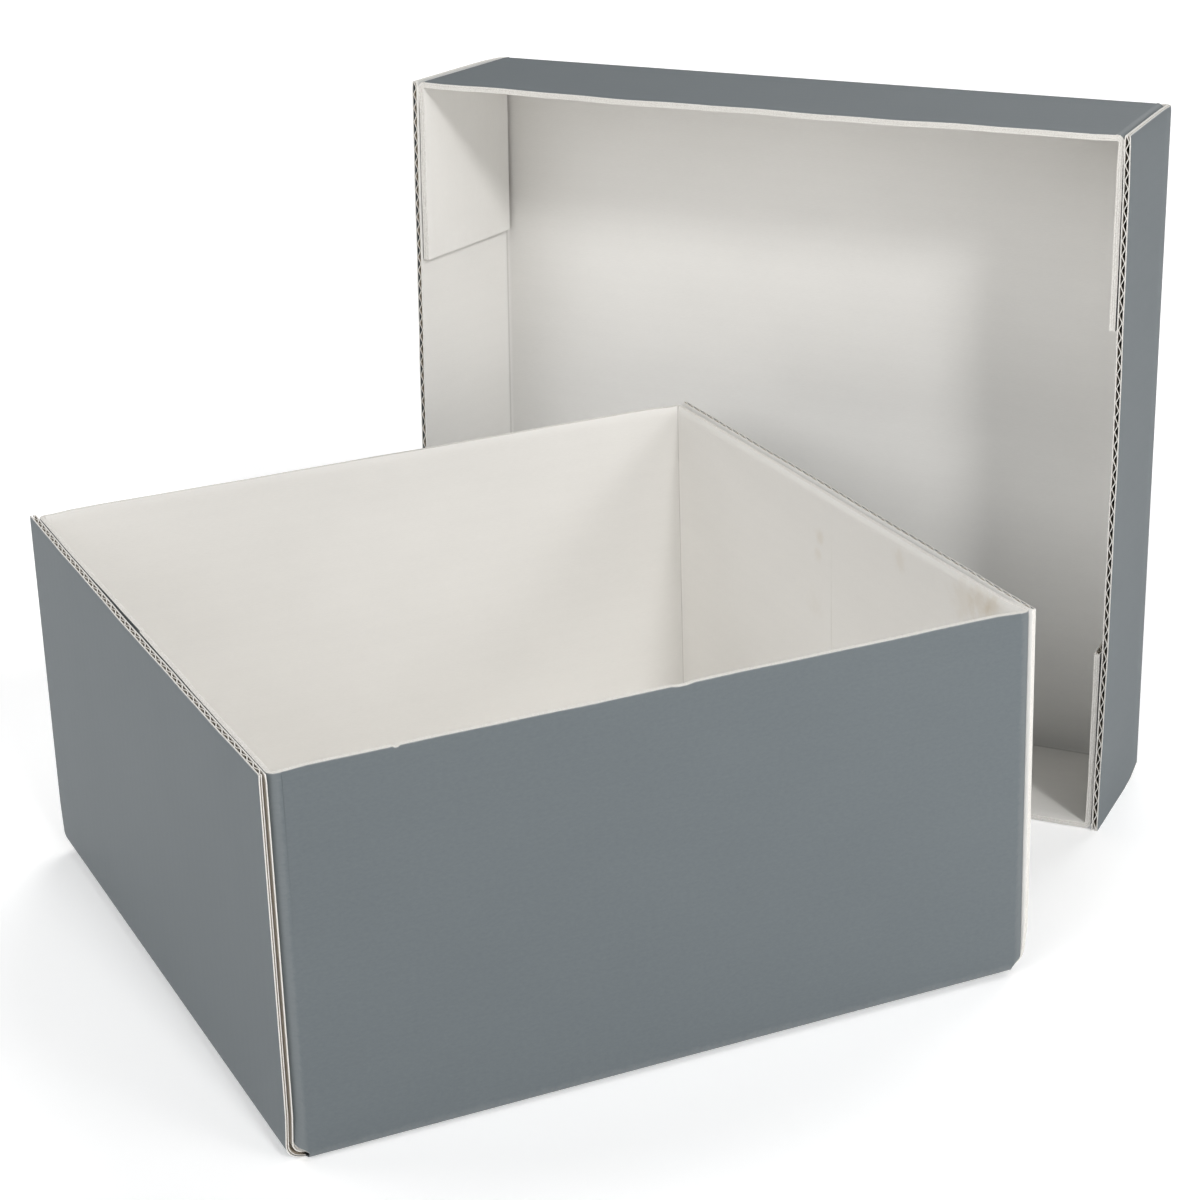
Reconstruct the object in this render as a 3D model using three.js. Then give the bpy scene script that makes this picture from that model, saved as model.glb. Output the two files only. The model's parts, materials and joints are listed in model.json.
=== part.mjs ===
// Two-piece archival storage box in corrugated board, millimetres, +Z up.
// A shallow lid lies on one of its long side walls and leans back a little; a deep tray
// stands in front of it with one corner pushed into the lid, on top of that side wall.
// Both pieces are made the same way from one flat blank each: a panel, two long side
// walls, two end walls, and a glue flap at each end of the long walls that turns the
// corner and is glued inside the end wall.
// The origin is the centre of the tray's underside. The floor is level in this frame.
import * as THREE from 'three';

// Board and folds
const boardThickness = 3.0;
const endFoldRadius = 8.0; // outside radius of a fold that crosses the tray's flutes
const lidEndFoldRadius = 5.0; // the same in the lid, which is creased harder
const sideFoldRadius = 4.5; // outside radius of a fold that runs along the flutes
const cornerFoldRadius = 4.0; // outside radius of the upright fold into a glue flap
const faceGap = 0.3; // glue line, and the slit at every crease

// Tray, outside sizes
const trayLength = 317;
const trayWidth = 302;
const trayHeight = 158;

// Lid
const lidDepth = 75;
const lidEndPlay = 1.25; // free space at each end when the lid is on the tray
const lidSidePlay = 1.75; // the same at each long side
const lidFlapLength = 82;
const flapDrop = 0.7; // how far a glue flap stops below the rim
const flapSlit = 0.6; // space between the tray's two flaps that meet on one end wall
const lidRightSplay = 3.0; // degrees the right end wall has sprung outward
const lidLeftSplay = 4.7; // the same for the left end wall
const lidUpperSplay = -1.1; // degrees, the upper long wall sags a little

// How the two pieces lie
const lidLean = 2.05; // degrees the lid's panel leans away from the tray
const lidTurn = 38.46; // degrees from +X to the way into the lid
const cornerReach = 48; // how far the tray's back right corner is inside the lid
const cornerOffset = 51.55; // that corner to the middle of the lid's length

const rad = THREE.MathUtils.degToRad;
const lidLength = trayLength + 2 * (2 * boardThickness + faceGap + lidEndPlay);
const lidWidth = trayWidth + 2 * (boardThickness + lidSidePlay);
const trayFlapLength = (trayWidth - flapSlit) / 2;

function paperBoard(color) {
  return new THREE.MeshStandardMaterial({ color, roughness: 0.9, metalness: 0 });
}

function named(name, geometry, color) {
  const mesh = new THREE.Mesh(geometry, paperBoard(color));
  mesh.name = name;
  return mesh;
}

// Distance from the sharp outer corner back to where the flat panel ends and a fold
// starts, for a wall that leans outward by the angle splay.
function foldInset(radius, splay) {
  return (radius * (1 - Math.sin(splay))) / Math.cos(splay);
}

// A wall with the quarter round that joins it to the panel. The section is drawn
// outward from the panel's middle and upward, then stretched between spanAt's two
// distances, which may change with height. turn is the wall's direction about Z.
function wallGeometry(half, depth, radius, splay, turn, spanAt) {
  const centre = half - foldInset(radius, splay);
  const rimOut = half + depth * Math.tan(splay);
  const section = new THREE.Shape();
  section.absarc(centre, radius, radius, -Math.PI / 2, -splay, false);
  section.lineTo(rimOut, depth);
  section.lineTo(
    rimOut - boardThickness * Math.cos(splay),
    depth + boardThickness * Math.sin(splay),
  );
  section.absarc(centre, radius, radius - boardThickness, -splay, -Math.PI / 2, true);
  const geometry = new THREE.ExtrudeGeometry(section, {
    depth: 1,
    steps: 1,
    curveSegments: 6,
    bevelEnabled: false,
  });
  const outward = new THREE.Vector2(Math.cos(turn), Math.sin(turn));
  const along = new THREE.Vector2(-outward.y, outward.x);
  const place = geometry.attributes.position;
  for (let i = 0; i < place.count; i += 1) {
    const reach = place.getX(i);
    const height = place.getY(i);
    const side = place.getZ(i) < 0.5 ? 1 : -1;
    const run = side * spanAt(height, side);
    place.setXYZ(
      i,
      reach * outward.x + run * along.x,
      reach * outward.y + run * along.y,
      height,
    );
  }
  geometry.computeVertexNormals();
  return geometry;
}

// A glue flap with the upright fold it hangs on and the root that runs back along the
// long wall. outerX and outerY are the corner of its two outside faces at the panel's
// level; it slants with both walls.
function flapGeometry(flap) {
  const { outerX, outerY, endSide, longSide, root, length, bottom, top, slantX, slantY } = flap;
  const plan = new THREE.Shape();
  const bend = cornerFoldRadius;
  const turns = 6;
  const arc = (radius, k) => {
    const angle = (Math.PI / 2) * (k / turns);
    return [bend - radius * Math.sin(angle), bend - radius * Math.cos(angle)];
  };
  const outline = [[root, 0]];
  for (let k = 0; k <= turns; k += 1) outline.push(arc(bend, k));
  outline.push([0, length], [boardThickness, length]);
  for (let k = turns; k >= 0; k -= 1) outline.push(arc(bend - boardThickness, k));
  outline.push([root, boardThickness]);
  plan.setFromPoints(
    outline.map(([dx, dy]) => new THREE.Vector2(endSide * (outerX - dx), longSide * (outerY - dy))),
  );
  const geometry = new THREE.ExtrudeGeometry(plan, {
    depth: top - bottom,
    steps: 1,
    bevelEnabled: false,
  });
  geometry.translate(0, 0, bottom);
  const place = geometry.attributes.position;
  for (let i = 0; i < place.count; i += 1) {
    const height = place.getZ(i);
    place.setX(i, place.getX(i) + endSide * slantX * height);
    place.setY(i, place.getY(i) + longSide * slantY * height);
  }
  geometry.computeVertexNormals();
  return geometry;
}

// One folded piece: panel on Z = 0, walls rising to depth, lengths along X.
// Names and splays are given for the walls at +X, +Y, -X and -Y.
function foldedPiece(piece) {
  const group = new THREE.Group();
  const { prefix, length, width, depth, endRadius, splays, names, flapLength, colors } = piece;
  const halves = [length / 2, width / 2, length / 2, width / 2];
  const radii = [endRadius, sideFoldRadius, endRadius, sideFoldRadius];
  const insets = radii.map((radius, k) => foldInset(radius, splays[k]));
  // From an end wall's outside face inward: to the flap, and to where the long wall ends.
  const flapStandoff = (k) => (boardThickness + faceGap) / Math.cos(splays[k]);
  const rootReach = (k) => Math.max(flapStandoff(k) + cornerFoldRadius, insets[k]) + faceGap;

  const edge = halves.map((half, k) => half - insets[k] - faceGap);
  const panel = named(
    `${prefix}_${piece.panelName}`,
    new THREE.BoxGeometry(edge[0] + edge[2], edge[1] + edge[3], boardThickness),
    colors.panel,
  );
  panel.position.set((edge[0] - edge[2]) / 2, (edge[1] - edge[3]) / 2, boardThickness / 2);
  group.add(panel);

  for (let k = 0; k < 4; k += 1) {
    const isEnd = k % 2 === 0;
    const spanAt = (height, side) => {
      const neighbour = (k + (side > 0 ? 1 : 3)) % 4;
      const outer = halves[neighbour] + height * Math.tan(splays[neighbour]);
      if (isEnd) return outer;
      return outer - rootReach(neighbour) - faceGap;
    };
    const wall = wallGeometry(halves[k], depth, radii[k], splays[k], (k * Math.PI) / 2, spanAt);
    group.add(named(`${prefix}_${names[k]}_wall`, wall, isEnd ? colors.end : colors.side));
  }

  for (const end of [0, 2]) {
    for (const long of [1, 3]) {
      const flap = flapGeometry({
        outerX: halves[end] - flapStandoff(end),
        outerY: halves[long],
        endSide: end === 0 ? 1 : -1,
        longSide: long === 1 ? 1 : -1,
        root: rootReach(end) - flapStandoff(end),
        length: flapLength,
        bottom: endRadius + faceGap,
        top: depth - flapDrop,
        slantX: Math.tan(splays[end]),
        slantY: Math.tan(splays[long]),
      });
      group.add(named(`${prefix}_${names[end]}_${names[long]}_flap`, flap, colors.flap));
    }
  }
  return group;
}

// The way into the lid, level, and the level line along the lid's rim.
const inward = new THREE.Vector3(Math.cos(rad(lidTurn)), Math.sin(rad(lidTurn)), 0);
const alongRim = new THREE.Vector3(inward.y, -inward.x, 0);
const up = new THREE.Vector3(0, 0, 1);

// The tray stands on its front left corner and on the rim of the lid's lower wall.
const standing = new THREE.Vector3(endFoldRadius - trayLength / 2, -trayWidth / 2, 0);
const backRight = new THREE.Vector3(trayLength / 2, trayWidth / 2, 0);
const rimDistance = backRight.dot(inward) - cornerReach - standing.dot(inward);
const trayTilt = Math.asin((boardThickness + faceGap) / rimDistance);
const floorLevel = standing.dot(inward) * Math.sin(trayTilt);

const tray = foldedPiece({
  prefix: 'tray',
  panelName: 'floor_panel',
  length: trayLength,
  width: trayWidth,
  depth: trayHeight,
  endRadius: endFoldRadius,
  splays: [0, 0, 0, 0],
  names: ['right', 'back', 'left', 'front'],
  flapLength: trayFlapLength,
  colors: { panel: 0xd2cec7, end: 0x7b868d, side: 0x858f96, flap: 0xd8d5ce },
});
tray.quaternion.setFromAxisAngle(alongRim, trayTilt);

// In the lid, X runs along the rim, Y up the panel and Z from the panel to the rim.
const lid = foldedPiece({
  prefix: 'lid',
  panelName: 'top_panel',
  length: lidLength,
  width: lidWidth,
  depth: lidDepth,
  endRadius: lidEndFoldRadius,
  splays: [rad(lidRightSplay), rad(lidUpperSplay), rad(lidLeftSplay), rad(lidLean)],
  names: ['right', 'upper', 'left', 'lower'],
  flapLength: lidFlapLength,
  colors: { panel: 0xd6d2cb, end: 0x7d888f, side: 0x87919a, flap: 0xdad7d0 },
});
const lean = rad(lidLean);
const lidOut = inward.clone().multiplyScalar(-Math.cos(lean)).addScaledVector(up, Math.sin(lean));
const lidUp = up.clone().multiplyScalar(Math.cos(lean)).addScaledVector(inward, Math.sin(lean));
lid.quaternion.setFromRotationMatrix(new THREE.Matrix4().makeBasis(alongRim, lidUp, lidOut));
lid.position
  .copy(backRight)
  .applyQuaternion(tray.quaternion)
  .addScaledVector(inward, lidDepth / Math.cos(lean) - cornerReach)
  .addScaledVector(alongRim, cornerOffset)
  .setZ(floorLevel)
  .addScaledVector(lidUp, lidWidth / 2);

const box = new THREE.Group();
box.name = 'archival_box';
box.add(tray, lid);
box.updateMatrixWorld(true);

export default box;
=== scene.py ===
# %% [markdown]
# # An archival box in corrugated board
# A records box is two trays of corrugated board. The deep one holds the papers. The
# shallow one is its lid, which here lies on one long side behind the tray. Each was cut
# as one flat blank, creased, folded up and glued at four corner flaps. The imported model
# gives the place and size of every panel. This file adds what the solids leave out: the
# papers that the board is made of, their edges, and their finish.

# %% Load the frame
import json
import math

import bmesh
import bpy
from mathutils import Matrix, Vector


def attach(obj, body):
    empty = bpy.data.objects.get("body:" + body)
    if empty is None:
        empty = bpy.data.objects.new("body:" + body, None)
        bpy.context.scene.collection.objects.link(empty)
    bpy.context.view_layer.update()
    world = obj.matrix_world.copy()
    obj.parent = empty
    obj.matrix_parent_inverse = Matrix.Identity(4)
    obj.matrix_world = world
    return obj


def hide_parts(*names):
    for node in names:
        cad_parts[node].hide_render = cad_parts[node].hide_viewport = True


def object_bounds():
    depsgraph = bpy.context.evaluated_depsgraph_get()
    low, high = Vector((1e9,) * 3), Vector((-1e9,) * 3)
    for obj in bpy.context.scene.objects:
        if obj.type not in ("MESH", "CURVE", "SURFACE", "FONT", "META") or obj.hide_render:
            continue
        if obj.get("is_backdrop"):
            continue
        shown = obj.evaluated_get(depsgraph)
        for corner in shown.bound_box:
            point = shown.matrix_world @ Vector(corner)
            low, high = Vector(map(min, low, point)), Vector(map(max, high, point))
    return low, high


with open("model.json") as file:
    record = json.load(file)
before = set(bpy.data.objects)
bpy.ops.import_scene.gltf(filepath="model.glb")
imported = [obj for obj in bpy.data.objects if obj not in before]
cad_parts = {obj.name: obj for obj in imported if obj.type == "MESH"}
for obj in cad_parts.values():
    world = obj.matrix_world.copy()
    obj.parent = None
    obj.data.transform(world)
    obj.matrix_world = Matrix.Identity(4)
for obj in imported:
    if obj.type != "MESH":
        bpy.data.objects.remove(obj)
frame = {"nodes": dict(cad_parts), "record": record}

cad_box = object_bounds()
print("panels in the frame:", len(frame["nodes"]))
print("overall size in mm:", [round(1000 * s, 1) for s in cad_box[1] - cad_box[0]])

# %% [markdown]
# ## Two sets of axes
# It is easiest to think of each tray lying flat, with its panel on the ground and its
# walls going up. The record's two mounts say where those panels are. Turning the up
# direction on to the tray's own gives its small tilt. For the lid, X runs along the rim,
# Y up the panel, and Z from the panel out to the rim.

# %% The tray's and the lid's own axes
mounts = {m["name"]: m for m in frame["record"]["mounts"]}
up = Vector((0, 0, 1))


def facing(name):
    return Vector(mounts[name]["axis"]).normalized()


tray_axes = up.rotation_difference(-facing("tray_underside")).to_matrix().to_4x4()
tray_axes.translation = Vector(mounts["tray_underside"]["pos_m"])

into_lid = facing("lid_face")
along_rim = Vector((into_lid.y, -into_lid.x, 0)).normalized()
lid_axes = Matrix((along_rim, (-into_lid).cross(along_rim), -into_lid)).transposed().to_4x4()
lid_axes.translation = Vector(mounts["lid_face"]["pos_m"])
print("tray tilt in degrees:", round(math.degrees(up.angle(tray_axes.to_3x3() @ up)), 2))


# %% [markdown]
# ## Measuring the panels
# The sizes are read from the solids, in each tray's own axes. What can't be read from
# their boxes is stated here: the thickness of the board, the radius of each kind of
# fold (end walls, then long walls) and how far each wall has sprung out of square.

# %% The board, the folds and the measured sizes
board = 0.0030
glue_gap = 0.0003
corner_gap = 1.5 * glue_gap
flap_drop = 0.0007
# a flap reaches this much past its solid, so that two nearly touch, and it stops this
# far above the panel
hair = 0.0002
fold_radii = {"tray": (0.0080, 0.0045), "lid": (0.0050, 0.0045)}
corner_radius = 0.0034
spring = {
    "tray": [0.0, 0.0, 0.0, 0.0],
    "lid": [math.radians(a) for a in (3.0, -1.1, 4.7, 2.05)],
}
wall_names = {
    "tray": ["right", "back", "left", "front"],
    "lid": ["right", "upper", "left", "lower"],
}
panel_names = {"tray": "tray_floor_panel", "lid": "lid_top_panel"}
own_axes = {"tray": tray_axes, "lid": lid_axes}


def fold_radius(tray, k):
    """Outside radius of the fold under wall k, which is an end wall when k is even."""
    return fold_radii[tray][k % 2]


def fold_inset(tray, k):
    """From the sharp outer corner back to where the flat panel ends."""
    lean = spring[tray][k]
    return fold_radius(tray, k) * (1 - math.sin(lean)) / math.cos(lean)


def measured(tray, node):
    """The node's lowest and highest corner in its tray's own axes."""
    back = own_axes[tray].inverted()
    points = [back @ v.co for v in frame["nodes"][node].data.vertices]
    lows = [min(p[i] for p in points) for i in range(3)]
    highs = [max(p[i] for p in points) for i in range(3)]
    return lows, highs


depth, half, flap_span = {}, {}, {}
for tray, names in wall_names.items():
    low, high = measured(tray, f"{tray}_{names[1]}_wall")
    tip = board * max(0.0, math.sin(spring[tray][1]))
    depth[tray] = high[2] - tip
    half[tray] = []
    for k, name in enumerate(names):
        low, high = measured(tray, f"{tray}_{name}_wall")
        reach = (high[0], high[1], -low[0], -low[1])[k]
        if spring[tray][k] < 0:
            reach += fold_inset(tray, k) - fold_radius(tray, k)
        half[tray].append(reach - depth[tray] * max(0.0, math.tan(spring[tray][k])))
    low, high = measured(tray, f"{tray}_right_{names[1]}_flap")
    flap_span[tray] = high[1] - low[1] + hair
    print(tray, "depth", round(1000 * depth[tray], 1), "halves",
          [round(1000 * h, 1) for h in half[tray]], "flap", round(1000 * flap_span[tray], 1))


# %% [markdown]
# ## Where a raw edge tucks in
# The cut side of an end wall stands flush with the long wall for most of its height.
# Near the crease it runs in to the panel's own corner, because the slit in the blank
# starts there.

# %% The tuck at the foot of a raw edge
tuck = {"tray": [0.0, 0.0045, 0.0, 0.0045], "lid": [0.0, 0.0008, 0.0, 0.0060]}
tuck_height = 0.026
print("tray edges run in by", 1000 * tuck["tray"][3], "mm at the foot")

# %% [markdown]
# ## Folding
# Paper can't stretch, so a fold is easiest to make the way the factory makes it: draw
# the sheet flat, then roll it round each crease. Every sheet below is drawn in flat
# coordinates, with X along the flutes, Y across them and Z through the board from its
# outside face. One function for each kind of panel then says where a flat point goes.

# %% How a wall rises from its fold
# tray, end wall, long wall: how far the upright fold bulges out against a crushed edge
bulges = {("tray", 0, 3): 0.0017, ("lid", 0, 1): 0.0006, ("lid", 2, 1): 0.0006}
bulge_reach = 0.007


def fold_length(tray, k):
    """Length of paper in the middle of the board that the fold takes up."""
    return (fold_radius(tray, k) - board / 2) * (math.pi / 2 - spring[tray][k])


def wall_length(tray, k):
    """Length of paper from the crease to the rim."""
    radius, lean = fold_radius(tray, k), spring[tray][k]
    straight = (depth[tray] - radius * (1 - math.sin(lean))) / math.cos(lean)
    return fold_length(tray, k) + straight


def flap_standoff(tray, k):
    """From an end wall's outside face in to the outside face of its glue flaps."""
    return (board + glue_gap) / math.cos(spring[tray][k])


def outer_at(tray, k, height):
    """From the panel's middle out to wall k's outside face, at a height."""
    return half[tray][k] + height * math.tan(spring[tray][k])


def wall_end(tray, k, neighbour, height):
    """Where wall k stops along its length, towards a neighbour."""
    outer = outer_at(tray, neighbour, height)
    if k % 2 == 0:
        return outer - tuck[tray][neighbour] * max(0.0, 1 - height / tuck_height) ** 2
    root = max(flap_standoff(tray, neighbour) + corner_radius, fold_inset(tray, neighbour))
    return outer - root - corner_gap + bulges.get((tray, neighbour, k), 0.0)


# %% [markdown]
# ## What handling has done
# Board isn't stiff. The end walls bow a little between the corners, the long walls'
# rims run in a gentle wave, and the free end of a glue flap lifts off where the glue
# missed it. Each is an easy sum on top of the folded place, and all of them are under
# two millimetres. A wave made of a few sines has no period that the eye can find.

# %% Bows, waves and lifted flaps
bow = {"tray": [0.0004, -0.0003, 0.0009, 0.0004], "lid": [0.0011, -0.0006, 0.0006, 0.0]}
wave_size = {"tray": [0.0001, 0.0002, 0.0001, 0.0002], "lid": [0.0001, 0.0002, 0.0001, 0.0]}
lift = {
    "tray_left_back_flap": 0.0010,
    "tray_left_front_flap": 0.0005,
    "tray_right_back_flap": 0.0003,
    "tray_right_front_flap": 0.0004,
    "lid_right_upper_flap": 0.0004,
    "lid_right_lower_flap": 0.0002,
    "lid_left_upper_flap": 0.0003,
    "lid_left_lower_flap": 0.0003,
}
# a nick's place along the rim, its half width and its depth
nicks = {"tray_front_wall": [(-0.107, 0.0016, 0.0009), (0.006, 0.0050, 0.0008)]}
# worn corners: how far the wear reaches down from the rim, and along it from the corner
wear_down, wear_along = 0.004, 0.014


def out_of_true(tray, k, along, height):
    """How far wall k stands out from its plane at a place along it and a height."""
    share = max(0.0, min(1.0, height / depth[tray]))
    reach = min(half[tray][(k + 1) % 4], half[tray][(k + 3) % 4])
    place = max(-1.0, min(1.0, along / reach))
    middle = 1 - place * place
    ripple = math.sin(9.1 * place + k) + 0.6 * math.sin(23.7 * place + 2 * k)
    swell = bow[tray][k] * share ** 1.5 * middle
    return swell + wave_size[tray][k] * share ** 3 * min(1.0, 4 * middle) * ripple


def rim_drop(tray, k, along, climb):
    """How far a long wall's rim is worn down at its two corners and at each nick."""
    if k % 2 == 0:
        return 0.0
    near_rim = max(0.0, 1 - (wall_length(tray, k) - climb) / wear_down) ** 2
    corner = wall_end(tray, k, (k + (1 if along > 0 else 3)) % 4, 0) - abs(along)
    drop = flap_drop * max(0.0, 1 - corner / wear_along) ** 2
    for place, width, deep in nicks.get(f"{tray}_{wall_names[tray][k]}_wall", []):
        drop += deep * max(0.0, 1 - abs(along - place) / width)
    return drop * near_rim


# %% Places on a wall
def on_wall(tray, k, climb, along, through):
    """climb is paper length up from the crease, along is at the crease, in metres."""
    radius, lean = fold_radius(tray, k), spring[tray][k]
    centre = half[tray][k] - fold_inset(tray, k)
    bend = fold_length(tray, k)
    climb -= rim_drop(tray, k, along, climb)
    if climb < bend:
        angle = -math.pi / 2 + climb / (radius - board / 2)
        out = centre + (radius - through) * math.cos(angle)
        height = radius + (radius - through) * math.sin(angle)
    else:
        out = centre + (radius - through) * math.cos(-lean) + (climb - bend) * math.sin(lean)
        height = radius + (radius - through) * math.sin(-lean)
        height += (climb - bend) * math.cos(lean)
    neighbour = (k + (1 if along > 0 else 3)) % 4
    along *= wall_end(tray, k, neighbour, height) / wall_end(tray, k, neighbour, 0)
    out += out_of_true(tray, k, along, height)
    turn = k * math.pi / 2
    return Vector((
        out * math.cos(turn) - along * math.sin(turn),
        out * math.sin(turn) + along * math.cos(turn),
        height,
    ))


# %% Places on a glue flap
def flap_root(tray, end):
    """From a flap's outside face back to where it hangs on the long wall."""
    inset = fold_inset(tray, end)
    return max(corner_radius, inset - flap_standoff(tray, end)) + corner_gap


def flap_bend(tray, end):
    """Paper length from the root to the start and the finish of the upright fold."""
    start = flap_root(tray, end) - corner_radius
    return start, start + (corner_radius - board / 2) * math.pi / 2


def on_flap(tray, end, side, name, run, height, through):
    """run is paper length from the flap's root, round the corner, to its free end."""
    start, finish = flap_bend(tray, end)
    span = flap_span[tray] - corner_radius
    if run < start:
        inward, back = flap_root(tray, end) - run, through
    elif run < finish:
        angle = (run - start) / (corner_radius - board / 2)
        inward = corner_radius - (corner_radius - through) * math.sin(angle)
        back = corner_radius - (corner_radius - through) * math.cos(angle)
    else:
        inward, back = through, corner_radius + run - finish
        share = (run - finish) / span
        inward += lift[name] * share ** 2 * max(0.0, height / depth[tray]) ** 2
    past_fold = max(0.0, run - finish)
    inward -= bulges.get((tray, end, side), 0.0) * max(0.0, 1 - past_fold / bulge_reach)
    toward = 1 if end == 0 else -1
    across = 1 if side == 1 else -1
    y = outer_at(tray, side, height) - back
    x = outer_at(tray, end, height) - flap_standoff(tray, end) - inward
    x += out_of_true(tray, end, y, height)
    y += out_of_true(tray, side, x, height) * max(0.0, 1 - 40 * back)
    return Vector((toward * x, across * y, height))


print("paper up a tray wall, in mm:", round(1000 * wall_length("tray", 1), 1))


# %% [markdown]
# ## Three papers
# Corrugated board is a waved paper glued between two flat ones. The wave shows wherever
# the board is cut across the flutes, along the rims of the end walls, as a row of dark
# triangles. Triangles that were only painted on would look flat from close by, so the
# three papers are made in full. Each starts as one rectangle, is cut into strips where it must bend,
# gets a thickness, and only then is folded. A flat point is stored on each vertex before
# the fold, so that a finish can follow the paper round the corners.

# %% Papers and flutes
liner = 0.00045
wave_paper = 0.00034
flute = 0.0064
# 0 would make the wave a sine, 1 a zigzag
sharpness = 0.93


def crest(across):
    """Height of the waved paper's middle, from the board's outside face."""
    swing = (board - 2 * liner - wave_paper) / 2
    turn = math.sin(2 * math.pi * across / flute)
    return board / 2 + swing * math.asin(sharpness * turn) / math.asin(sharpness)


def even(first, last, step):
    """Evenly spaced places from first to last, about a step apart."""
    count = max(1, round((last - first) / step))
    return [first + (last - first) * i / count for i in range(count + 1)]


def flat_sheet(runs, rows):
    """A flat sheet cut into strips at each of the runs (X) and the rows (Y)."""
    sheet = bmesh.new()
    bmesh.ops.create_grid(sheet, x_segments=1, y_segments=1, size=0.5)
    size = (runs[-1] - runs[0], rows[-1] - rows[0], 1)
    bmesh.ops.scale(sheet, vec=size, verts=sheet.verts)
    middle = ((runs[-1] + runs[0]) / 2, (rows[-1] + rows[0]) / 2, 0)
    bmesh.ops.translate(sheet, vec=middle, verts=sheet.verts)
    for axis, cuts in enumerate((runs, rows)):
        normal = Vector((0, 0, 0))
        normal[axis] = 1
        for cut in cuts[1:-1]:
            everything = sheet.verts[:] + sheet.edges[:] + sheet.faces[:]
            bmesh.ops.bisect_plane(
                sheet, geom=everything, dist=1e-7, plane_co=normal * cut, plane_no=normal
            )
    return sheet


def thicken(sheet, thickness, middle):
    """Gives a sheet its thickness, with the middle of it at a height."""
    bmesh.ops.solidify(sheet, geom=sheet.faces[:], thickness=thickness)
    heights = [v.co.z for v in sheet.verts]
    shift = middle - (min(heights) + max(heights)) / 2
    bmesh.ops.translate(sheet, vec=(0, 0, shift), verts=sheet.verts)
    sheet.normal_update()


# %% Fold a sheet and keep its flat places
# a third of a pressed board, less a thin gap above and below the paper in it
press_gap = 0.03


def finish_sheet(name, sheet, fold, edges, finishes, body, node):
    """Folds a thick flat sheet, stores its flat places, and makes it a piece."""
    for face in sheet.faces:
        face.smooth = True
        x, y, z = face.calc_center_median()
        if abs(face.normal.z) < 0.5 and edges(x, y)[0] < 1e-5:
            face.material_index = 1
    blank = sheet.verts.layers.float_vector.new("blank")
    nearness = sheet.verts.layers.float_vector.new("edges")
    for vert in sheet.verts:
        x, y, z = vert.co
        vert[blank] = (x, y, z)
        vert[nearness] = edges(x, y)
        vert.co = fold(x, y, z)
    bmesh.ops.recalc_face_normals(sheet, faces=sheet.faces)
    for edge in sheet.edges:
        edge.smooth = edge.calc_face_angle(0) < 0.7
    mesh = bpy.data.meshes.new(name)
    sheet.to_mesh(mesh)
    sheet.free()
    for finish in finishes:
        mesh.materials.append(finish)
    piece = bpy.data.objects.new(name, mesh)
    bpy.context.scene.collection.objects.link(piece)
    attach(piece, body)
    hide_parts(node)


def three_papers(node, body, runs, rows, fold, edges, crushed, rim, seat=0.5):
    """The outer liner, the waved paper and the inner liner of one panel.

    crushed says how far the board is pressed at a place, 0 to 1. rim is the pressed
    thickness, and seat where it sits, from the outside face (0) to the inside (1).
    """
    faces = 0

    def pressed(layer, thickness, bottom):
        """The fold, after pressing one of the three papers into its third of the rim."""
        def fold_pressed(x, y, z):
            share = min(1.0, max(0.0, (z - bottom(y)) / thickness))
            third = layer + press_gap + (1 - 2 * press_gap) * share
            flat = seat * (board - rim) + rim * third / 3
            return fold(x, y, z + (flat - z) * crushed(x, y))

        return fold_pressed

    for layer, name, finish in ((0, "outer_liner", outer_paper), (2, "inner_liner", inner_paper)):
        low = layer / 2 * (board - liner)
        sheet = flat_sheet(runs, rows)
        thicken(sheet, liner, low + liner / 2)
        faces += len(sheet.faces)
        place = pressed(layer, liner, lambda y: low)
        finish_sheet(f"{node}_{name}", sheet, place, edges, [finish, cut_edge], body, node)
    fine = even(rows[0], rows[-1], flute / 12)
    sheet = flat_sheet(runs, [fine[0], fine[-1]])
    strips = [e for e in sheet.edges if abs(e.verts[0].co.x - e.verts[1].co.x) < 1e-7]
    bmesh.ops.subdivide_edges(sheet, edges=strips, cuts=len(fine) - 2, use_grid_fill=True)
    for vert in sheet.verts:
        vert.co.z = crest(vert.co.y)
    thicken(sheet, wave_paper, board / 2)
    faces += len(sheet.faces)
    place = pressed(1, wave_paper, lambda y: crest(y) - wave_paper / 2)
    finish_sheet(f"{node}_fluting", sheet, place, edges, [fluting_paper, cut_edge], body, node)
    return faces


# %% [markdown]
# ## Shader sums
# A finish here is mostly arithmetic on places: how far from the rim, which flute, how
# much noise. Written as Math nodes by hand that is long and hard to read. One small
# class wraps a socket, and an ordinary expression on it adds the nodes.

# %% A socket that does sums
class Worth:
    def __init__(self, finish, socket):
        self.finish, self.socket = finish, socket

    def sum(self, operation, other=None, swap=False):
        values = [self] if other is None else [other, self] if swap else [self, other]
        return self.finish.node("ShaderNodeMath", {"operation": operation}, dict(enumerate(values)))

    def __add__(self, other):
        return self.sum("ADD", other)

    def __sub__(self, other):
        return self.sum("SUBTRACT", other)

    def __rsub__(self, other):
        return self.sum("SUBTRACT", other, True)

    def __mul__(self, other):
        return self.sum("MULTIPLY", other)

    def __truediv__(self, other):
        return self.sum("DIVIDE", other)

    __radd__ = __add__
    __rmul__ = __mul__


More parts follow.
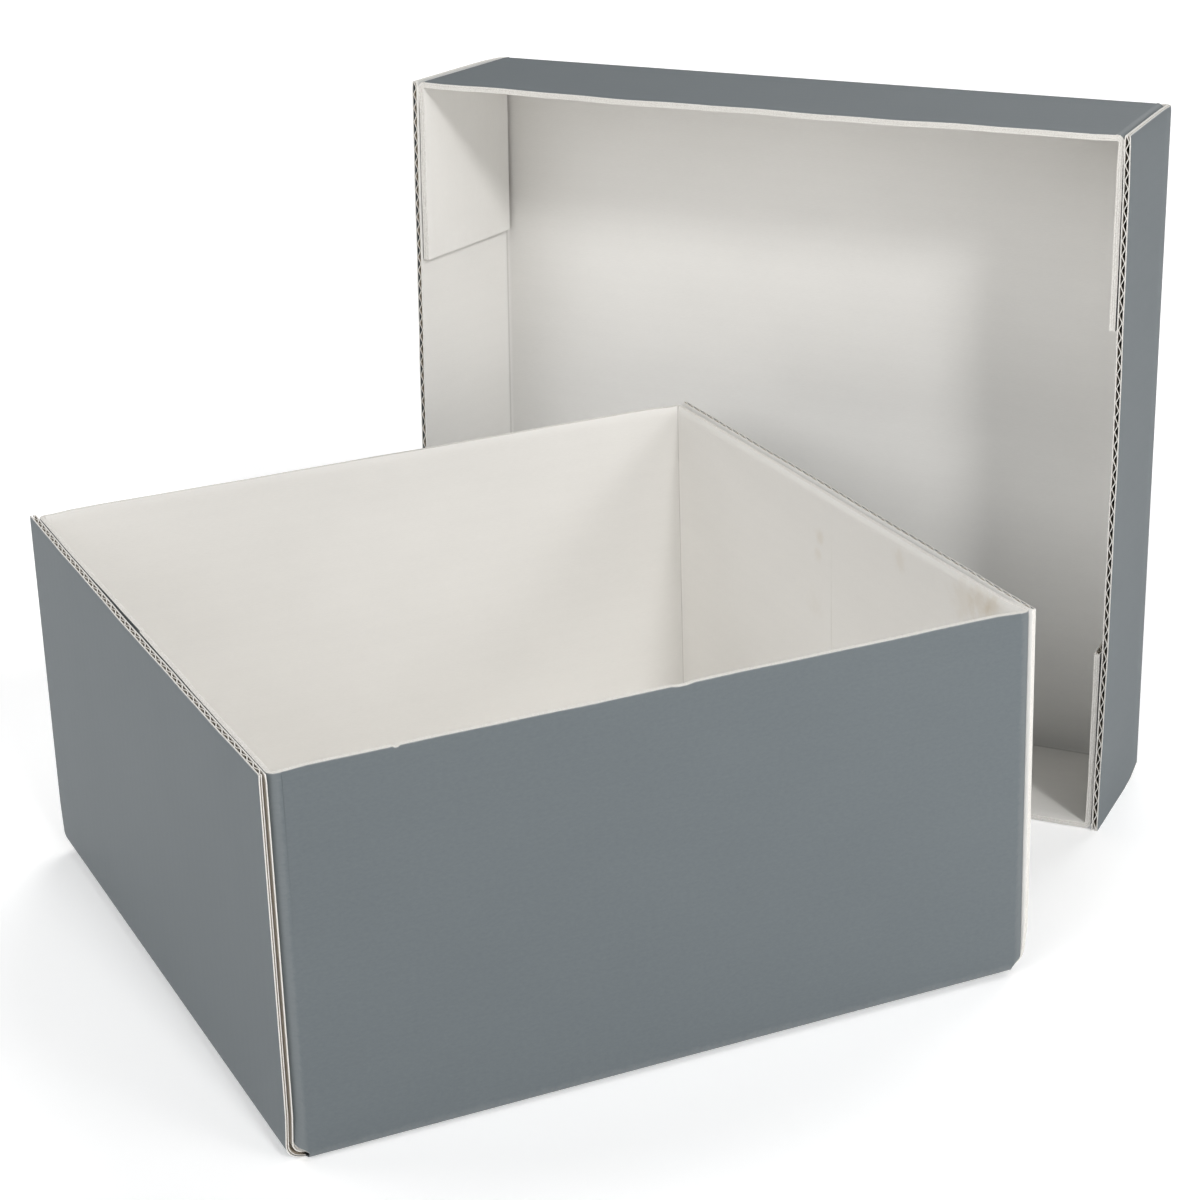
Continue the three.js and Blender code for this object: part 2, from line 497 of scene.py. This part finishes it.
class Finish:
    """One material, with a Principled shader and a way to add any node."""

    def __init__(self, name, **constants):
        self.material = bpy.data.materials.new(name)
        self.material.use_nodes = True
        self.nodes, self.links = self.material.node_tree.nodes, self.material.node_tree.links
        self.shader = self.nodes["Principled BSDF"]
        for socket, value in constants.items():
            self.shader.inputs[socket.replace("_", " ")].default_value = value

    def node(self, kind, settings=None, inputs=None, output=0):
        made = self.nodes.new(kind)
        for key, value in (settings or {}).items():
            setattr(made, key, value)
        for key, value in (inputs or {}).items():
            self.feed(made.inputs[key], value)
        return Worth(self, made.outputs[output])

    def feed(self, socket, value):
        if isinstance(value, Worth):
            self.links.new(value.socket, socket)
        else:
            socket.default_value = value

    def stored(self, name):
        """A stored vector, as (the vector, its x, y and z)."""
        read = self.node("ShaderNodeAttribute", {"attribute_name": name}, output=1)
        split = self.nodes.new("ShaderNodeSeparateXYZ")
        self.links.new(read.socket, split.inputs[0])
        return [read] + [Worth(self, out) for out in split.outputs]

    def grain(self, vector, stretch, detail=3.0, roughness=0.6):
        """Noise on a vector, drawn out along each axis; about 0 to 1."""
        drawn = self.node(
            "ShaderNodeVectorMath", {"operation": "MULTIPLY"}, {0: vector, 1: stretch}
        )
        inputs = {"Vector": drawn, "Scale": 1.0, "Detail": detail, "Roughness": roughness}
        return self.node("ShaderNodeTexNoise", {}, inputs)

    def soft(self, value, low, high):
        """0 below low, 1 above high, smooth between; low may be the larger."""
        inputs = {0: value, 1: low, 2: high, 3: 0.0, 4: 1.0}
        return self.node("ShaderNodeMapRange", {"interpolation_type": "SMOOTHSTEP"}, inputs)

    def mix(self, factor, first, second):
        settings = {"data_type": "RGBA"}
        return self.node("ShaderNodeMix", settings, {0: factor, 6: first, 7: second}, output=2)

    def surface(self, colour=None, roughness=None, height=None, rise=0.0001):
        if colour is not None:
            self.feed(self.shader.inputs["Base Color"], colour)
        if roughness is not None:
            self.feed(self.shader.inputs["Roughness"], roughness)
        if height is not None:
            inputs = {"Strength": 1.0, "Distance": rise, "Height": height}
            self.feed(self.shader.inputs["Normal"], self.node("ShaderNodeBump", {}, inputs))
        return self.material


def paint(red, green, blue):
    """A colour as screens give it, 0 to 255, made linear."""
    parts = [c / 255 for c in (red, green, blue)]
    return tuple(c / 12.92 if c < 0.04 else ((c + 0.055) / 1.055) ** 2.4 for c in parts) + (1.0,)


# %% [markdown]
# ## Blue-grey outside paper
# The outside is a smooth, dyed-through paper with almost no shine. Up close it has a
# fine mottle and very faint bands, because the flat paper sinks a hair's breadth
# between the glue lines of the flutes. Rims and folds are rubbed paler. The bands are a
# sine on the stored flat place, so they turn the corners with the paper.

# %% The outside paper
def make_outer_paper():
    finish = Finish("blue_grey_liner", Specular_IOR_Level=0.36)
    blank, _, across, _ = finish.stored("blank")
    _, from_cut, from_crease, _ = finish.stored("edges")
    band = (across * (2 * math.pi / flute)).sum("SINE")
    cloud = finish.grain(blank, (14, 22, 0), 2.0)
    mottle = finish.grain(blank, (420, 900, 0), 4.0)
    fibre = finish.grain(blank, (900, 5200, 0), 2.0)
    tone = finish.soft(cloud * 0.15 + mottle * 0.5 + fibre * 0.35 + band * 0.006, 0.20, 0.80)
    body = finish.mix(tone, paint(91, 98, 102), paint(102, 109, 112))
    rub = finish.grain(blank, (260, 300, 0), 5.0, 0.7)
    cut = finish.soft(from_cut - rub * 0.0006, 0.0002, -0.0002) * 0.6
    crease = finish.soft(from_crease.sum("ABSOLUTE") - rub * 0.004, 0.0012, -0.0010) * 0.10
    colour = finish.mix(cut + crease, body, paint(172, 174, 172))
    height = band * 0.05 + mottle * 0.20 + fibre * 0.12
    return finish.surface(colour, 0.50 + mottle * 0.16, height, 0.00009)


outer_paper = make_outer_paper()
print("finish:", outer_paper.name)

# %% [markdown]
# ## Off-white inside paper
# The inside paper is undyed and buffered, a warm white with grey in it. It has the same
# faint bands, some longer fibres, and on the tray's right end wall a few yellowed spots
# where glue soaked through. The spots are given by where they are on the box, so the
# shader measures the distance to each in the object's own coordinates. A painted shade
# darkens the paper along the inside of each fold.

# %% The inside paper
def tray_place(x, y, z):
    return tuple(tray_axes @ Vector((x, y, z)))


def on_right_flaps(y, z):
    return tray_place(half["tray"][0] - 2 * board - glue_gap, y, z)


glue_spots = [
    (on_right_flaps(-0.130, 0.152), 0.0100, 0.24),
    (on_right_flaps(-0.120, 0.151), 0.0120, 0.20),
    (on_right_flaps(-0.108, 0.148), 0.0160, 0.13),
    (on_right_flaps(-0.128, 0.136), 0.0180, 0.10),
    (on_right_flaps(-0.057, 0.148), 0.0080, 0.13),
    (on_right_flaps(0.0110, 0.136), 0.0060, 0.16),
    (on_right_flaps(0.0120, 0.128), 0.0060, 0.12),
    (on_right_flaps(0.0150, 0.104), 0.0110, 0.05),
]


def make_inner_paper():
    finish = Finish("off_white_liner", Specular_IOR_Level=0.3)
    blank, _, across, _ = finish.stored("blank")
    _, _, from_crease, _ = finish.stored("edges")
    place = finish.node("ShaderNodeTexCoord", output=3)
    band = (across * (2 * math.pi / flute)).sum("SINE")
    cloud = finish.grain(blank, (9, 15, 0), 3.0)
    fibre = finish.grain(blank, (300, 3600, 0), 4.0, 0.7)
    fleck = finish.grain(blank, (1500, 1900, 0), 2.0)
    tone = finish.soft(cloud * 0.45 + fibre * 0.45 + band * 0.008, 0.20, 0.70)
    body = finish.mix(tone, paint(229, 227, 223), paint(238, 236, 232))
    edge = finish.grain(place, (190, 190, 190), 3.0)
    stain = 0.0
    for centre, radius, strength in glue_spots:
        settings = {"operation": "DISTANCE"}
        gap = finish.node("ShaderNodeVectorMath", settings, {0: place, 1: centre}, output=1)
        stain = finish.soft(gap + edge * radius, 1.35 * radius, 0.55 * radius) * strength + stain
    # painted shade: the paper is darkened along the inside of each fold, where the crease lies in
    # shade
    crease_shade = finish.soft(from_crease.sum("ABSOLUTE"), 0.0011, 0.0003) * 0.35
    crease_shaded_body = finish.mix(crease_shade, body, paint(150, 144, 136))
    colour = finish.mix(stain, crease_shaded_body, paint(186, 162, 116))
    height = band * 0.045 + fibre * 0.30 + fleck * 0.18
    return finish.surface(colour, 0.62 + fibre * 0.15, height, 0.00008)


inner_paper = make_inner_paper()
print("finish:", inner_paper.name, "with", len(glue_spots), "glue spots")

# %% [markdown]
# ## Cut edges and the waved paper
# A knife leaves the edge of a paper paler and rougher than its face, with the core
# showing cream. The waved paper is a plainer grade, a little browner, and inside the
# flutes it is seen only in shade.

# %% The cut edge and the fluting
def make_cut_edge():
    finish = Finish("cut_paper_edge", Specular_IOR_Level=0.2)
    blank = finish.stored("blank")[0]
    crumb = finish.grain(blank, (1700, 1700, 5000), 3.0, 0.7)
    colour = finish.mix(finish.soft(crumb, 0.3, 0.7), paint(210, 206, 200), paint(234, 232, 227))
    return finish.surface(colour, 0.85, crumb, 0.00015)


def make_fluting_paper():
    finish = Finish("fluting_paper", Specular_IOR_Level=0.2)
    blank = finish.stored("blank")[0]
    crumb = finish.grain(blank, (800, 2200, 800), 3.0)
    colour = finish.mix(finish.soft(crumb, 0.3, 0.7), paint(150, 138, 122), paint(186, 176, 160))
    return finish.surface(colour, 0.9, crumb, 0.0001)


cut_edge = make_cut_edge()
fluting_paper = make_fluting_paper()
print("finishes:", cut_edge.name, fluting_paper.name)


# %% [markdown]
# ## Where the sheets are cut into strips
# A sheet needs edges only where it bends. A fold gets a strip about every millimetre,
# the rest one every centimetre or two, and the rims two more, because there the edge of
# a board that was cut along its flutes is pinched thinner than the board behind it.

# %% The crushed rims
far = 1.0
# the pressed thickness of the long walls and of the flaps
rim_thickness = {"tray": (0.0021, 0.0019), "lid": (0.0025, 0.0027)}
# how far an end wall's rim is crushed
rim_crush = {
    "tray_left_wall": 0.45, "tray_right_wall": 0.55, "lid_left_wall": 0.20, "lid_right_wall": 0.25,
}
# the crush of an end wall's two raw sides, at its low end along the wall and at its high end
edge_crush = {
    "tray_left_wall": (0.1, 0.0), "tray_right_wall": (1.0, 0.3),
    "lid_left_wall": (1.0, 0.0), "lid_right_wall": (0.0, 0.9),
}
# an end wall's pressed thickness, and where it sits from its outside face (0) to its inside (1)
usual_press = (0.0021, 0.3)
end_press = {"tray_right_wall": (0.0015, 0.0)}
flap_seat = 0.2
crush_reach = 0.0028
crush_middle = 0.0012
# the spacing of the strips: in a fold, up a wall or along a flap, along a wall, in a panel
fold_strip, wall_strip, side_strip, panel_strip = 0.0012, 0.012, 0.010, 0.020
upright_fold_strip, root_strip = 0.0008, 0.002
# the last strips below a rim
plain_to, rim_strips = 0.004, (0.0025, 0.0012, 0.0)


def crush(from_cut):
    """1 at a cut, down to 0 where the board is whole."""
    return max(0.0, 1 - from_cut / crush_reach) ** 1.5


def side_stations(alongs):
    """The cuts along a wall, with two more close to each end for the crush."""
    near_ends = [alongs[0] + step for step in (crush_middle, crush_reach)]
    near_ends += [alongs[-1] - step for step in (crush_reach, crush_middle)]
    return sorted(alongs + near_ends)


print("rims are pressed to", 1000 * rim_thickness["tray"][0], "mm in the tray")


# %% Panels
def panel_papers(tray):
    node = panel_names[tray]
    edge = [half[tray][k] - fold_inset(tray, k) for k in range(4)]
    runs = even(-edge[2], edge[0], panel_strip)
    rows = even(-edge[3], edge[1], panel_strip)

    def fold(x, y, z):
        return own_axes[tray] @ Vector((x, y, z))

    def edges(x, y):
        crease = min(edge[0] - x, edge[2] + x, edge[1] - y, edge[3] + y)
        return far, crease + fold_length(tray, 1) / 2, 0.0

    return three_papers(node, tray, runs, rows, fold, edges, lambda x, y: 0.0, board)


# %% Walls
def wall_papers(tray, k):
    node = f"{tray}_{wall_names[tray][k]}_wall"
    length, bend = wall_length(tray, k), fold_length(tray, k)
    reach = [wall_end(tray, k, (k + step) % 4, 0) for step in (3, 1)]
    climbs = even(0, bend, fold_strip) + even(bend, length - plain_to, wall_strip)[1:]
    climbs += [length - below for below in rim_strips]
    alongs = even(-reach[0], reach[1], side_strip)

    if k % 2 == 0:
        def fold(x, y, z):
            return own_axes[tray] @ on_wall(tray, k, x, y, z)

        def edges(x, y):
            return min(length - x, y + reach[0], reach[1] - y), x - bend / 2, 0.0

        def crushed(x, y):
            side = crush(min(y + reach[0], reach[1] - y)) * (edge_crush[node][y > 0])
            return max(side, rim_crush[node] * crush(length - x))

        rim, seat = end_press.get(node, usual_press)
        return three_papers(
            node, tray, climbs, side_stations(alongs), fold, edges, crushed, rim, seat
        )

    def fold(x, y, z):
        return own_axes[tray] @ on_wall(tray, k, y, x, z)

    def edges(x, y):
        return length - y, y - bend / 2, 0.0

    for place, width, _ in nicks.get(node, []):
        alongs += [place - width, place - width / 3, place + width / 3, place + width]
    rim = rim_thickness[tray][0]
    return three_papers(
        node, tray, sorted(alongs), climbs, fold, edges, lambda x, y: crush(length - y), rim
    )


# %% Glue flaps
def flap_papers(tray, end, side):
    node = f"{tray}_{wall_names[tray][end]}_{wall_names[tray][side]}_flap"
    start, finish = flap_bend(tray, end)
    length = finish + flap_span[tray] - corner_radius
    low, high = measured(tray, node)
    bottom, top = low[2], high[2]
    runs = even(0, start, root_strip) if start > 1e-4 else [0.0, start]
    runs = [r for r in runs if r < start - 1e-6] + even(start, finish, upright_fold_strip)
    runs += even(finish, length, wall_strip)[1:]
    rows = even(bottom, top - plain_to, wall_strip) + [top - below for below in rim_strips]
    # at the fold the flap's lower edge reaches down to the panel, which closes the corner
    reach_down = bottom - board - hair

    def fold(x, y, z):
        stretch = 1 + reach_down * max(0.0, 1 - x / finish) / (top - bottom)
        return own_axes[tray] @ on_flap(tray, end, side, node, x, top - (top - y) * stretch, z)

    def edges(x, y):
        return min(top - y, y - bottom, length - x), x - (start + finish) / 2, 0.0

    rim = rim_thickness[tray][1]
    return three_papers(
        node, tray, runs, rows, fold, edges, lambda x, y: crush(top - y), rim, flap_seat
    )


# %% [markdown]
# ## Making the box
# The same three calls make both trays: the panel, four walls and four flaps each.

# %% All the papers of both trays
for tray in ("tray", "lid"):
    faces = panel_papers(tray)
    for k in range(4):
        faces += wall_papers(tray, k)
    for end in (0, 2):
        for side in (1, 3):
            faces += flap_papers(tray, end, side)
    print(tray, "papers have", faces, "faces")


# %% [markdown]
# ## The floor, the light and the camera
# The box stands on a pale sweep that is lit a little from beneath, as a product table
# is, so the floor stays white and the outside walls aren't gloomy. The main light comes
# from the front, a little above the rim: it reaches into the tray, and the tray's shadow
# falls in the foot of the lid. A lamp near the front right makes the front wall brighter
# toward that end. Broad weak lights from the left, from above and from behind fill the
# rest. A sun lamp with a wide angle acts as a big soft light far away, so its strength
# is the same across the box.

# %% Floor and surround
floor_level = cad_box[0].z
floor_half = 6.0
sweep = bmesh.new()
bmesh.ops.create_grid(sweep, x_segments=1, y_segments=1, size=floor_half)
bmesh.ops.translate(sweep, vec=(0, 0, floor_level), verts=sweep.verts)
sweep_mesh = bpy.data.meshes.new("floor")
sweep.to_mesh(sweep_mesh)
sweep.free()
floor = bpy.data.objects.new("floor", sweep_mesh)
bpy.context.scene.collection.objects.link(floor)
glow = {"Emission_Color": (1, 1, 1, 1), "Emission_Strength": 0.26}
floor_finish = Finish("pale_floor", Roughness=0.9, Specular_IOR_Level=0.1, **glow)
floor.data.materials.append(floor_finish.surface(paint(247, 247, 247)))
floor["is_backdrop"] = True
world = bpy.data.worlds.new("studio")
world.use_nodes = True
world.node_tree.nodes["Background"].inputs["Color"].default_value = (1, 1, 1, 1)
world.node_tree.nodes["Background"].inputs["Strength"].default_value = 0.01
bpy.context.scene.world = world
bpy.context.scene.view_settings.view_transform = "Standard"
print("floor at z =", round(1000 * floor_level, 2), "mm")


# %% Lights
def light(name, kind, power, place, aim):
    lamp = bpy.data.lights.new(name, kind)
    lamp.energy = power
    holder = bpy.data.objects.new(name, lamp)
    holder.location = place
    holder.rotation_euler = aim.to_track_quat("-Z", "Y").to_euler()
    bpy.context.scene.collection.objects.link(holder)
    return lamp


high_up = (0, 0, 3)
# name: the way to the light, its width in degrees and its strength
broad_lights = {
    "front": ((0.02, -0.85, 0.55), 9, 1.14),
    "front_right": ((0.42, -0.85, 0.38), 12, 0.30),
    "above": ((0.1, -0.3, 0.95), 40, 0.52),
    "left": ((-0.8, -0.3, 0.5), 40, 1.02),
    "left_low": ((-0.95, -0.15, 0.12), 40, 0.10),
    "back_right": ((0.55, 0.5, 0.65), 40, 1.34),
    "back_left": ((-0.6, 0.6, 0.6), 40, 0.81),
}
for name, (way, width, power) in broad_lights.items():
    light(name, "SUN", power, high_up, -Vector(way)).angle = math.radians(width)
near_front = Vector((0.40, -0.80, 0.28))
front_right_corner = Vector((0.16, -0.15, 0.08))
beside = light("beside", "AREA", 1.5, near_front, front_right_corner - near_front)
beside.shape, beside.size = "SQUARE", 0.4
print("lights:", len(broad_lights) + 1)

# %% Camera
camera = bpy.data.objects.new("camera", bpy.data.cameras.new("camera"))
camera.data.lens = 90.1
camera.data.sensor_width = 36
camera.data.clip_end = 50
yaw, pitch, roll = (math.radians(a) for a in (24.443, 21.141, -1.603))
ahead = Vector((
    math.sin(yaw) * math.cos(pitch), math.cos(yaw) * math.cos(pitch), -math.sin(pitch)
))
level = Vector((math.cos(yaw), -math.sin(yaw), 0))
rise = level.cross(ahead)
right = math.cos(roll) * level + math.sin(roll) * rise
top = math.cos(roll) * rise - math.sin(roll) * level
camera.matrix_world = Matrix((right, top, -ahead)).transposed().to_4x4()
camera.location = (-0.44323, -1.06615, 0.58496)
bpy.context.scene.collection.objects.link(camera)
bpy.context.scene.camera = camera
print("camera distance to the tray:", round(camera.location.length, 3), "m")

# %% [markdown]
# ## Last measurements
# The papers must fill the same space as the solids they stand for, so the sizes of the two
# boxes are printed one after the other.

# %% Print the two sizes
boxes = {"cad": cad_box, "visual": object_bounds()}
{k: [list(lo), list(hi)] for k, (lo, hi) in boxes.items()}
for name, (lo, hi) in boxes.items():
    print(name, "size in mm:", [round(1000 * s, 1) for s in hi - lo])
